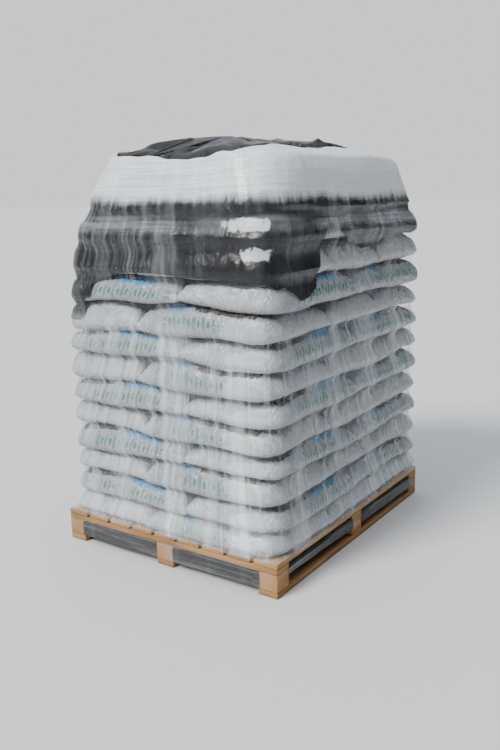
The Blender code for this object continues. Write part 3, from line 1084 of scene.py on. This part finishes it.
@dataclass
class CoverSheet:
    """The black sheet: laid flat over the load, let fall, and then wound against it with the film."""

    flat: tuple[float, float] = (1.96, 2.20)
    centre: tuple[float, float] = (-0.010, -0.015)
    step: float = 0.0170
    start: float = 1.615
    form_step: float = 0.015
    fall_frames: int = 26
    wind_frames: int = 22
    lowest_layer: int = 8
    pull: float = -22.0
    turn: float = 12.0
    skin: float = 0.0022
    deepest_fold: float = 0.0045
    slack: float = 0.010
    shell_top: float = 1.50
    hem_long: tuple = ((-0.59, 1.075), (-0.50, 1.060), (-0.45, 1.030), (-0.396, 0.984), (-0.329, 0.969),
                       (-0.305, 1.040), (-0.278, 1.132), (-0.235, 1.262), (-0.14, 1.220), (-0.038, 1.180),
                       (0.045, 1.150), (0.231, 1.174), (0.498, 1.193), (0.59, 1.190))
    hem_front: tuple = ((-0.49, 0.905), (-0.36, 0.915), (-0.315, 0.960), (-0.300, 1.050), (-0.240, 1.082),
                        (-0.107, 1.097), (0.032, 1.095), (0.206, 1.080), (0.408, 1.070), (0.49, 1.072))
    hem_back: tuple = ((-0.49, 1.130), (0.0, 1.160), (0.49, 1.190))
    hem_left: tuple = ((-0.59, 0.905), (-0.47, 0.930), (-0.40, 1.080), (0.10, 1.110), (0.59, 1.130))
    folds: tuple = ((0.00, -0.52, 0.05, -0.34, -0.024, 0.014), (0.075, -0.47, 0.085, -0.34, -0.026, 0.020),
                    (0.03, -0.50, 0.06, -0.38, 0.010, 0.016), (0.14, -0.44, 0.10, -0.26, 0.008, 0.030),
                    (0.16, 0.02, 0.02, 0.20, 0.008, 0.034), (0.22, 0.02, 0.14, 0.17, -0.022, 0.016),
                    (0.25, 0.14, 0.12, 0.36, 0.016, 0.030), (0.31, 0.16, 0.24, 0.30, -0.020, 0.014),
                    (-0.14, -0.46, -0.09, -0.24, 0.008, 0.028))

    def proxy(self, load: Load) -> bpy.types.Object:
        """Melt the upper sacks into one coarse solid for the sheet to fall on.

        Args:
            load: The sacks.

        Returns:
            The solid.
        """
        bpy.ops.object.select_all(action="DESELECT")
        pieces = [sack for sack in load.sacks
                  if not sack.name[5:7].isdigit() or int(sack.name[5:7]) >= self.lowest_layer]
        copies = []
        for sack in pieces:
            copy = bpy.data.objects.new("load_form", sack.data.copy())
            bpy.context.scene.collection.objects.link(copy)
            copy.select_set(True)
            copies.append(copy)
        bpy.context.view_layer.objects.active = copies[0]
        bpy.ops.object.join()
        form = bpy.context.object
        form.data.remesh_voxel_size = self.form_step
        bpy.ops.object.voxel_remesh()
        hardened(form, 0.006, 12.0)
        return form

    @staticmethod
    def fallen(sheet: bpy.types.Object, frames: int, gravity: float) -> None:
        """Let the sheet fall for some frames, under a share of gravity."""
        played(sheet, frames, 0.003, gravity, quality=5, mass=0.1, tension_stiffness=25,
               compression_stiffness=25, shear_stiffness=12, bending_stiffness=0.6, tension_damping=8,
               compression_damping=8, shear_damping=8, air_damping=1.5)

    @staticmethod
    def lifted(points: np.ndarray, sacks: BVHTree, skin: float) -> None:
        """Lift points off the sacks.

        Args:
            points: The points, one row each, which are changed.
            sacks: A search tree over the sacks.
            skin: How far off they are in the end, at least.
        """
        for index, point in enumerate(points):
            spot = Vector(point)
            near, out, *_ = sacks.find_nearest(spot, 0.15)
            if near is not None and (spot - near).dot(out) < skin:
                points[index] = near + out * skin

    def press(self, sheet: bpy.types.Object, sacks: BVHTree, shell: BVHTree) -> None:
        """Press the folds under the film's shell, in their order, and lift the sheet off the sacks.

        Args:
            sheet: The sheet.
            sacks: A search tree over the sacks.
            shell: The surface that the film takes over the bare sacks.
        """
        points = points_of(sheet.data)
        for index, point in enumerate(points):
            spot = Vector(point)
            near, out, _, far = shell.find_nearest(spot)
            if near is not None and (spot - near).dot(out) > 0 and far < 0.3 and near.z < self.shell_top:
                points[index] = near + out * (self.deepest_fold * (1 - math.exp(-far / 0.03)) - 0.0015)
        self.lifted(points, sacks, self.skin)
        put_points(sheet.data, points)
        sheet.data.update()

    def fold(self, sheet: bpy.types.Object, sacks: BVHTree) -> None:
        """Raise the crisp folds of the sheet's top, and sink the creases between them.

        Args:
            sheet: The sheet.
            sacks: A search tree over the sacks.
        """
        points = points_of(sheet.data)
        up = np.clip((points[:, 2] - 1.45) / 0.03, 0, 1)
        points[:, 2] += self.slack * up
        for x0, y0, x1, y1, height, width in self.folds:
            start, way = np.array((x0, y0)), np.array((x1 - x0, y1 - y0))
            share = np.clip(((points[:, :2] - start) @ way) / (way @ way), 0, 1)
            far = np.linalg.norm(points[:, :2] - start - share[:, None] * way, axis=1)
            fade = 1 - (2 * share - 1) ** 4
            points[:, 2] += height * np.clip(1 - far / width, 0, 1) * (0.35 + 0.65 * fade) * up
        self.lifted(points, sacks, self.skin * 2)
        put_points(sheet.data, points)
        sheet.data.update()

    def hem(self, points: np.ndarray) -> np.ndarray:
        """Return the height at which the sheet is cut off below each point.

        Args:
            points: The points, one row each.

        Returns:
            A height for each point.
        """
        x, y = points[:, 0], points[:, 1]
        sides = [(0.49 - x, self.hem_long, y), (x + 0.49, self.hem_left, y),
                 (y + 0.59, self.hem_front, x), (0.59 - y, self.hem_back, x)]
        nearest = np.argmin([side[0] for side in sides], axis=0)
        heights = [np.interp(along, *np.array(table).T) for _, table, along in sides]
        return np.choose(nearest, heights) + wavy(x, y, 7.0, 2.0) * 0.008

    def trim(self, sheet: bpy.types.Object) -> None:
        """Cut the sheet off along its hem.

        Args:
            sheet: The sheet.
        """
        points = points_of(sheet.data)
        hem = self.hem(points)
        below = points[:, 2] < hem
        points[below, 2] = hem[below]
        put_points(sheet.data, points)
        bpy.ops.object.mode_set(mode="EDIT")
        bpy.ops.mesh.select_all(action="DESELECT")
        bpy.ops.object.mode_set(mode="OBJECT")
        for face in sheet.data.polygons:
            face.select = all(below[corner] for corner in face.vertices)
        bpy.ops.object.mode_set(mode="EDIT")
        bpy.ops.mesh.select_mode(type="FACE")
        bpy.ops.mesh.delete(type="FACE")
        bpy.ops.mesh.select_mode(type="VERT")
        bpy.ops.object.mode_set(mode="OBJECT")

    def build(self, load: Load, sacks: BVHTree, shell: BVHTree) -> bpy.types.Object:
        """Drape the sheet, wind it against the load and finish it.

        Args:
            load: The sacks that it lies on.
            sacks: A search tree over their surfaces.
            shell: The surface that the film takes over the bare sacks.

        Returns:
            The sheet.
        """
        form = self.proxy(load)
        cuts = [round(side / self.step) for side in self.flat]
        bpy.ops.object.select_all(action="DESELECT")
        bpy.ops.mesh.primitive_grid_add(x_subdivisions=cuts[0], y_subdivisions=cuts[1], size=1.0,
                                        location=(*self.centre, self.start))
        sheet = bpy.context.object
        sheet.name = sheet.data.name = "cover_sheet_draped"
        sheet.scale = (*self.flat, 1.0)
        bpy.ops.object.transform_apply(location=True, scale=True)
        self.fallen(sheet, self.fall_frames, 1.0)
        winders = []
        for kind, strength in (("FORCE", self.pull), ("VORTEX", self.turn)):
            bpy.ops.object.effector_add(type=kind, location=(0.0, 0.0, 1.2))
            winder = bpy.context.object
            winder.field.strength = strength
            winders.append(winder)
        self.fallen(sheet, self.wind_frames, 0.5)
        for extra in (*winders, form):
            bpy.data.objects.remove(extra, do_unlink=True)
        selected(sheet)
        worked(sheet, "SMOOTH", factor=0.5, iterations=7)
        self.press(sheet, sacks, shell)
        worked(sheet, "SUBSURF", levels=1, render_levels=1)
        self.press(sheet, sacks, shell)
        self.fold(sheet, sacks)
        self.trim(sheet)
        bpy.ops.object.shade_smooth()
        sheet.data.materials.append(BlackSheet().material("black_polythene"))
        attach(sheet, ROOT)
        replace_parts(sheet, "cover_sheet")
        LOG.info("sheet: %d faces", len(sheet.data.polygons))
        return sheet


def solid_tree(pieces: list[bpy.types.Object]) -> BVHTree:
    """Return a search tree over the surfaces of finished pieces.

    Args:
        pieces: The pieces.

    Returns:
        The tree.
    """
    points, faces, start = [], [], 0
    for piece in pieces:
        mesh = piece.data
        points += [tuple(point) for point in points_of(mesh)]
        faces += [tuple(start + corner for corner in face.vertices) for face in mesh.polygons]
        start += len(mesh.vertices)
    return BVHTree.FromPolygons(points, faces)


@dataclass
class Hull:
    """How far the load reaches, ray by ray, round it and up over its shoulder.

    Columns run round a rounded rectangle and look at an inner one. Rows run up the side and then
    turn over the shoulder about a pivot on the inner rectangle.
    """

    step: float = 0.0086
    half_x: float = 0.490
    half_y: float = 0.590
    radius: float = 0.100
    inner_x: float = 0.150
    inner_y: float = 0.250
    pivot_high: float = 1.330
    start: float = 0.090
    reach: float = 0.300
    far_off: float = 0.800

    def __post_init__(self) -> None:
        """Work out the columns' places, their outward ways and their distance round the load."""
        places, inner = [], []
        flat_x, flat_y = self.half_x - self.radius, self.half_y - self.radius
        corners = ((1, -1, -math.pi / 2), (1, 1, 0.0), (-1, 1, math.pi / 2), (-1, -1, math.pi))
        for index, (sign_x, sign_y, angle) in enumerate(corners):
            arc = np.array((sign_x * flat_x, sign_y * flat_y))
            core = np.array((sign_x * self.inner_x, sign_y * self.inner_y))
            turns = max(4, round(self.radius * math.pi / 2 / self.step))
            for share in np.arange(turns) / turns:
                turned = angle + share * math.pi / 2
                way = np.array((math.cos(turned), math.sin(turned)))
                places.append(arc + self.radius * way)
                inner.append(core + 0.01 * way)
            next_x, next_y, next_angle = corners[(index + 1) % 4]
            way = np.array((math.cos(next_angle), math.sin(next_angle)))
            begin = arc + self.radius * way
            end = np.array((next_x * flat_x, next_y * flat_y)) + self.radius * way
            core_end = np.array((next_x * self.inner_x, next_y * self.inner_y)) + 0.01 * way
            core_begin = core + 0.01 * way
            count = round(np.linalg.norm(end - begin) / self.step)
            for share in np.arange(count) / count:
                places.append(begin + (end - begin) * share)
                inner.append(core_begin + (core_end - core_begin) * share)
        self.places = np.array(places)
        self.inner = np.array(inner)
        away = self.places - self.inner
        self.away = np.linalg.norm(away, axis=1)
        self.ways = away / self.away[:, None]
        steps = np.linalg.norm(np.roll(self.places, -1, axis=0) - self.places, axis=1)
        self.around = np.concatenate([[0.0], np.cumsum(steps)])

    def cast(self, tree: BVHTree, heights: np.ndarray) -> np.ndarray:
        """Return how far past its column's place the load reaches.

        Args:
            tree: The load.
            heights: The heights at which it is looked at.

        Returns:
            The distances, by height and column.
        """
        found = np.full((len(heights), len(self.places)), -self.reach)
        for row, z in enumerate(heights):
            for column, (place, way) in enumerate(zip(self.places, self.ways)):
                origin = Vector((*(place + way * self.start), z))
                *_, far = tree.ray_cast(origin, Vector((*-way, 0.0)), self.start + self.reach)
                if far is not None:
                    found[row, column] = self.start - far
        return found

    def cast_over(self, tree: BVHTree, angles: np.ndarray) -> np.ndarray:
        """Return the distance from each column's pivot to the load's skin.

        Args:
            tree: The load.
            angles: The angles up from level at which it is looked at.

        Returns:
            The distances, by angle and column.
        """
        found = np.full((len(angles), len(self.places)), 0.05)
        far_off = self.far_off
        for row, angle in enumerate(angles):
            for column, (core, way) in enumerate(zip(self.inner, self.ways)):
                aim = Vector((*(way * math.cos(angle)), math.sin(angle)))
                origin = Vector((*core, self.pivot_high)) + aim * far_off
                *_, far = tree.ray_cast(origin, -aim, far_off)
                if far is not None:
                    found[row, column] = far_off - far
        return found

    def tight(self, found: np.ndarray) -> np.ndarray:
        """Stretch each row into its convex outline, as film in tension round the load lies.

        Args:
            found: How far the load reaches, by row and column.

        Returns:
            How far the taut film reaches, by row and column.
        """
        return np.array([self.taut(self.places + self.ways * far[:, None], self.places, self.ways)
                         for far in found])

    @staticmethod
    def taut(spots: np.ndarray, starts: np.ndarray, ways: np.ndarray) -> np.ndarray:
        """Return how far rays go to the convex outline of points.

        Args:
            spots: The points, one row each.
            starts: Where each ray starts, inside the outline.
            ways: Which way each ray goes.

        Returns:
            A distance for each ray.
        """
        ring = Hull.outline(spots)
        edges = np.roll(ring, -1, axis=0) - ring
        out = np.stack([edges[:, 1], -edges[:, 0]], axis=1)
        out /= np.linalg.norm(out, axis=1)[:, None]
        limit = (out * ring).sum(axis=1)
        facing = ways @ out.T
        room = (limit[None, :] - starts @ out.T) / np.where(facing > 1e-6, facing, 1e-6)
        return np.where(facing > 1e-6, room, np.inf).min(axis=1)

    @staticmethod
    def outline(spots: np.ndarray) -> np.ndarray:
        """Return the convex outline of points.

        Args:
            spots: The points, one row each.

        Returns:
            The outline's points, anticlockwise.
        """
        ordered = sorted(map(tuple, spots))

        def chain(points: list) -> list:
            """Follow one half of the outline.

            Args:
                points: The points, in order.

            Returns:
                Those on the outline, without the last.
            """
            kept: list = []
            for point in points:
                while len(kept) > 1:
                    (ax, ay), (bx, by) = kept[-2], kept[-1]
                    if (bx - ax) * (point[1] - ay) - (by - ay) * (point[0] - ax) > 0:
                        break
                    kept.pop()
                kept.append(point)
            return kept[:-1]

        return np.array(chain(ordered) + chain(ordered[::-1]))


def blurred(values: np.ndarray, width: float, axis: int, wrap: bool) -> np.ndarray:
    """Blur rows or columns with a bell curve.

    Args:
        values: The grid.
        width: The curve's width, in cells.
        axis: 0 to blur up the columns, 1 to blur along the rows.
        wrap: Whether the axis closes on itself.

    Returns:
        The blurred grid.
    """
    reach = int(3 * width) + 1
    bell = np.exp(-0.5 * (np.arange(-reach, reach + 1) / width) ** 2)
    bell /= bell.sum()
    pad = [(0, 0), (0, 0)]
    pad[axis] = (reach, reach)
    padded = np.pad(values, pad, mode="wrap" if wrap else "edge")
    return np.apply_along_axis(lambda line: np.convolve(line, bell, mode="valid"), axis, padded)


def widest(values: np.ndarray, reach: int) -> np.ndarray:
    """Return the largest value within some rows above and below."""
    padded = np.pad(values, ((reach, reach), (0, 0)), mode="edge")
    return np.max([padded[shift:shift + len(values)] for shift in range(2 * reach + 1)], axis=0)


def ring_faces(grid: np.ndarray) -> list[tuple[int, int, int, int]]:
    """Join a grid of points, whose last column meets the first, with faces.

    Args:
        grid: The points, by row and column.

    Returns:
        The faces, row by row.
    """
    rows, columns = grid.shape[:2]
    return [(row * columns + column, row * columns + (column + 1) % columns,
             (row + 1) * columns + (column + 1) % columns, (row + 1) * columns + column)
            for row in range(rows - 1) for column in range(columns)]


def ring_piece(name: str, grid: np.ndarray, uv: np.ndarray, uv_name: str) -> bpy.types.Object:
    """Make a sheet that closes on itself from a grid of points.

    Args:
        name: The piece's name.
        grid: The points, by row and column.
        uv: The map's place of each point, with one more column than the points.
        uv_name: The map's name.

    Returns:
        The piece, smooth.
    """
    spots = np.stack([uv[:-1, :-1], uv[:-1, 1:], uv[1:, 1:], uv[1:, :-1]], axis=2)
    mesh = bpy.data.meshes.new(name)
    mesh.from_pydata(grid.reshape(-1, 3).tolist(), [], ring_faces(grid))
    mesh.uv_layers.new(name=uv_name).data.foreach_set("uv", spots.astype(np.float32).ravel())
    piece = bpy.data.objects.new(name, mesh)
    bpy.context.scene.collection.objects.link(piece)
    selected(piece)
    bpy.ops.object.shade_smooth()
    return piece


@dataclass
class StretchFilm:
    """The clear film round the load, from under the deck's edge up over the shoulder."""

    hull: Hull
    skirt_end: float = 0.028
    skirt_side: tuple[float, float] = (0.069, 0.045)
    dip: float = 0.030
    lift: float = 0.0030
    row_step: float = 0.0092
    bridge: float = 0.040
    turn_soft: float = 0.014
    rows_over: int = 40
    shoulder_reach: float = 0.36
    rim_angle: float = 0.62
    highest_angle: float = 1.05

    def lower_edge(self) -> np.ndarray:
        """Return how low the film hangs.

        Returns:
            A height for each column.
        """
        y = self.hull.places[:, 1]
        ripple = wavy(*self.hull.places.T, 6.0, 3.0) * 0.006
        share = np.clip((y + self.hull.half_y) / (2 * self.hull.half_y), 0, 1)
        side = self.skirt_side[0] + share * (self.skirt_side[1] - self.skirt_side[0])
        on_end = np.clip((-y - (self.hull.half_y - 0.06)) / 0.05, 0, 1)
        return side * (1 - on_end) + self.skirt_end * on_end + ripple

    def rim(self) -> np.ndarray:
        """Return the angle over the shoulder at which the film ends, for each column."""
        x, y = self.hull.places.T
        return self.rim_angle + wavy(x, y, 3.0, 9.0) * 0.22 + wavy(x, y, 13.0, 5.0) * 0.05

    def side_lie(self, tree: BVHTree, levels: np.ndarray) -> tuple[np.ndarray, np.ndarray]:
        """Lay the film up the side.

        Args:
            tree: What the film is wound on.
            levels: The heights of its rows.

        Returns:
            How far the film stands out and how far what is under it does, by row and column.
        """
        bare = self.hull.cast(tree, levels)
        taut = self.hull.tight(bare)
        window = round(self.bridge / self.row_step)
        shell = blurred(widest(taut, window), self.turn_soft / self.row_step, 0, False)
        gap = np.maximum(shell - taut, 0)
        lie = shell - self.dip * (1 - np.exp(-gap / self.dip))
        deck = np.clip((levels - DECK_TOP - 0.01) / 0.03, 0, 1)[:, None]
        lie = taut * (1 - deck) + lie * deck
        return blurred(np.maximum(lie, taut), 0.7, 1, True), bare

    def over_lie(self, tree: BVHTree, angles: np.ndarray) -> tuple[np.ndarray, np.ndarray]:
        """Lay the film over the shoulder.

        Args:
            tree: What the film is wound on.
            angles: The angles up from level of its rows.

        Returns:
            How far the film and what is under it are from the pivots, by row and column.
        """
        bare = self.hull.cast_over(tree, angles)
        flat = np.cos(angles)[:, None]
        taut = (self.hull.tight(bare * flat - self.hull.away[None, :]) + self.hull.away[None, :]) / flat
        lie = taut.copy()
        for column in range(taut.shape[1]):
            spots = np.stack([taut[:, column] * np.cos(angles), taut[:, column] * np.sin(angles)], axis=1)
            lie[:, column] = self.arched(spots, angles, taut[:, column])
        return lie, bare

    @staticmethod
    def arched(spots: np.ndarray, angles: np.ndarray, least: np.ndarray) -> np.ndarray:
        """Stretch one column's profile over the shoulder into its convex outline.

        Args:
            spots: The profile's points, one row each, seen from the pivot.
            angles: The angle of each.
            least: The distance of each, which it keeps at least.

        Returns:
            The stretched distances.
        """
        with_core = np.vstack([spots, [[-0.2, spots[-1, 1]], [-0.2, spots[0, 1]]]])
        rays = np.stack([np.cos(angles), np.sin(angles)], axis=1)
        return np.maximum(Hull.taut(with_core, np.zeros_like(rays), rays), least)

    def surface(self, tree: BVHTree, wrinkled: bool) -> tuple[np.ndarray, np.ndarray, np.ndarray]:
        """Work out the film's points, its gap to what is under it, and how far up each point is.

        Args:
            tree: What the film is wound on.
            wrinkled: Whether it gets its fine wrinkles.

        Returns:
            The points by row and column, the gaps, and the distances up.
        """
        hull = self.hull
        low, rim = self.lower_edge(), self.rim()
        levels = np.arange(low.min(), hull.pivot_high, self.row_step)
        levels *= hull.pivot_high / levels[-1]
        angles = np.linspace(0.0, self.highest_angle, 44)
        side, side_bare = self.side_lie(tree, levels)
        over, over_bare = self.over_lie(tree, angles)
        ease = np.clip(angles / 0.18, 0, 1)[:, None]
        first = side[-1] + hull.away
        over = over + (first - over[0])[None, :] * (1 - ease)
        rows_over = self.rows_over
        count = len(levels) + rows_over
        grid = np.zeros((count, len(low), 3))
        gaps = np.zeros((count, len(low)))
        for column in range(len(low)):
            rise = (levels - levels[0]) / (levels[-1] - levels[0])
            z = low[column] + (hull.pivot_high - low[column]) * rise
            far = np.interp(z, levels, side[:, column])
            gaps[:len(levels), column] = far - np.interp(z, levels, side_bare[:, column])
            out = hull.ways[column] * (far + self.lift)[:, None]
            grid[:len(levels), column, :2] = hull.places[column] + out
            grid[:len(levels), column, 2] = z
            turned = rim[column] * np.arange(1, rows_over + 1) / rows_over
            long = np.interp(turned, angles, over[:, column])
            gaps[len(levels):, column] = long - np.interp(turned, angles, over_bare[:, column])
            long = long + self.lift
            out = hull.ways[column] * (long * np.cos(turned))[:, None]
            grid[len(levels):, column, :2] = hull.inner[column] + out
            grid[len(levels):, column, 2] = hull.pivot_high + long * np.sin(turned)
        if wrinkled:
            around = hull.around[:-1]
            wrinkle = np.array([[noise.noise((s * 9, z * 60, 1.0)) * 0.0010
                                 + noise.noise((s * 42, z * 4, 7.0)) * 0.0012
                                 for s, z in zip(around, line)] for line in grid[:, :, 2]])
            grid[:, :, :2] += hull.ways[None, :, :] * np.maximum(wrinkle, 0)[:, :, None]
        up = grid[:, :, 2].copy()
        over_rim = self.shoulder_reach * rim[None, :] * np.arange(1, rows_over + 1)[:, None] / rows_over
        up[len(levels):] = hull.pivot_high + over_rim
        return grid, gaps, up

    def shell(self, sacks: BVHTree) -> BVHTree:
        """Return the surface that the film would take over the bare sacks."""
        grid = self.surface(sacks, False)[0]
        return BVHTree.FromPolygons(grid.reshape(-1, 3).tolist(), ring_faces(grid))

    def build(self, pieces: list[bpy.types.Object]) -> bpy.types.Object:
        """Wrap the film round the load.

        Args:
            pieces: The pieces that it goes round.

        Returns:
            The film.
        """
        hull = self.hull
        grid, gaps, up = self.surface(solid_tree(pieces), True)
        around = np.broadcast_to(hull.around[None, :], (len(grid), len(hull.around)))
        up = np.hstack([up, up[:, :1]])
        film = ring_piece("stretch_film_wrap", grid, np.stack([around, up], axis=2), "Wind")
        layer = film.data.attributes.new("Gap", "FLOAT", "POINT")
        layer.data.foreach_set("value", gaps.ravel().astype(np.float32))
        film.data.materials.append(ClearFilm(girth=float(hull.around[-1])).material("stretch_film"))
        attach(film, ROOT)
        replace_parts(film, "stretch_film")
        LOG.info("film: %d faces", len(film.data.polygons))
        return film


@dataclass
class Studio:
    """A pale floor, soft light and the camera at the photograph's angle."""

    place: tuple[float, float, float] = (1.8373, -2.6872, 1.339)
    yaw: float = 0.6008
    tilt: float = 0.2174
    roll: float = -0.0227
    focal_pixels: float = 791.15
    picture_high: int = 750
    sensor_high: float = 36.0
    key_from: tuple[float, float, float] = (-0.24, -0.74, 0.74)
    key_strength: float = 4.7
    key_softness: float = 20.0
    bright_side: tuple[float, float, float] = (-0.70, 0.71, 0.0)
    side_rise: tuple[float, float, float, float] = (0.55, 0.92, 0.02, 1.00)
    zenith_rise: tuple[float, float, float, float] = (0.62, 1.0, 0.0, 2.60)
    sky_tint: tuple[float, float, float] = (0.94, 0.985, 1.05)
    sky_strength: float = 1.0
    backdrop: float = 1.32

    def camera(self) -> None:
        """Set up the camera that was fitted to the pallet's corners."""
        ahead = Vector((-math.sin(self.yaw) * math.cos(self.tilt),
                        math.cos(self.yaw) * math.cos(self.tilt), -math.sin(self.tilt)))
        right = Vector((math.cos(self.yaw), math.sin(self.yaw), 0.0))
        up = right.cross(ahead)
        rolled_right = right * math.cos(self.roll) + up * math.sin(self.roll)
        rolled_up = up * math.cos(self.roll) - right * math.sin(self.roll)
        bpy.ops.object.camera_add()
        camera = bpy.context.object
        camera.matrix_world = Matrix.Translation(self.place) @ Matrix(
            (rolled_right, rolled_up, -ahead)).transposed().to_4x4()
        camera.data.sensor_fit = "VERTICAL"
        camera.data.sensor_height = self.sensor_high
        camera.data.lens = self.focal_pixels * self.sensor_high / self.picture_high
        bpy.context.scene.camera = camera

    def sun(self) -> None:
        """Add the one soft light, from the left and in front."""
        bpy.ops.object.light_add(type="SUN", location=(0, 0, 4))
        lamp = bpy.context.object
        lamp.name = "soft_key"
        lamp.data.energy = self.key_strength
        lamp.data.angle = math.radians(self.key_softness)
        lamp.data.color = (1.0, 0.985, 0.965)
        lamp.rotation_euler = Vector(self.key_from).to_track_quat("Z", "Y").to_euler()

    def floor(self) -> None:
        """Lay the pale floor."""
        bpy.ops.mesh.primitive_plane_add(size=600.0)
        floor = bpy.context.object
        floor.name = "studio_floor"
        bench = Finish("pale_floor")
        floor.data.materials.append(bench.dress(Base_Color=display(201, 201, 201), Roughness=0.9))

    def world(self) -> None:
        """Fill the studio with soft light that is brighter above."""
        world = bpy.data.worlds.new("studio_light")
        world.use_nodes = True
        bpy.context.scene.world = world
        bench = Bench(world.node_tree)
        way = bench.node("ShaderNodeTexCoord").outputs["Generated"]
        toward = bench.node("ShaderNodeVectorMath", {"operation": "DOT_PRODUCT"},
                            {0: way, 1: self.bright_side}).outputs["Value"]
        keys = ("From Min", "From Max", "To Min", "To Max")
        lights = []
        for value, rise in ((toward, self.side_rise), (bench.axes(way)[2], self.zenith_rise)):
            sockets = {"Value": value, **dict(zip(keys, rise))}
            lights.append(Signal(bench, bench.node("ShaderNodeMapRange", None, sockets).outputs[0]))
        tinted = bench.node("ShaderNodeVectorMath", {"operation": "MULTIPLY"},
                            {0: lights[0] + lights[1], 1: self.sky_tint}).outputs[0]
        sky = world.node_tree.nodes["Background"]
        bench.feed(sky.inputs["Color"], tinted)
        bench.feed(sky.inputs["Strength"], self.sky_strength)
        pale = bench.node("ShaderNodeBackground", None, {"Strength": self.backdrop})
        seen = bench.node("ShaderNodeLightPath").outputs["Is Camera Ray"]
        mix = bench.node("ShaderNodeMixShader", None, {0: seen, 1: sky.outputs[0], 2: pale.outputs[0]})
        bench.feed(world.node_tree.nodes["World Output"].inputs["Surface"], mix.outputs[0])

    def build(self) -> None:
        """Set up the studio."""
        self.camera()
        self.floor()
        self.world()
        self.sun()
        LOG.info("studio: camera, floor and lights")


def main() -> None:
    """Build everything in order."""
    logging.basicConfig(level=logging.INFO, format="%(name)s %(message)s")
    Studio().build()
    load = Load()
    load.build()
    film = StretchFilm(Hull())
    timber = Pallet().build()
    sacks = solid_tree(load.sacks)
    sheet = CoverSheet().build(load, sacks, film.shell(sacks))
    film.build([*timber, *load.sacks, sheet])


if __name__ == "__main__":
    main()
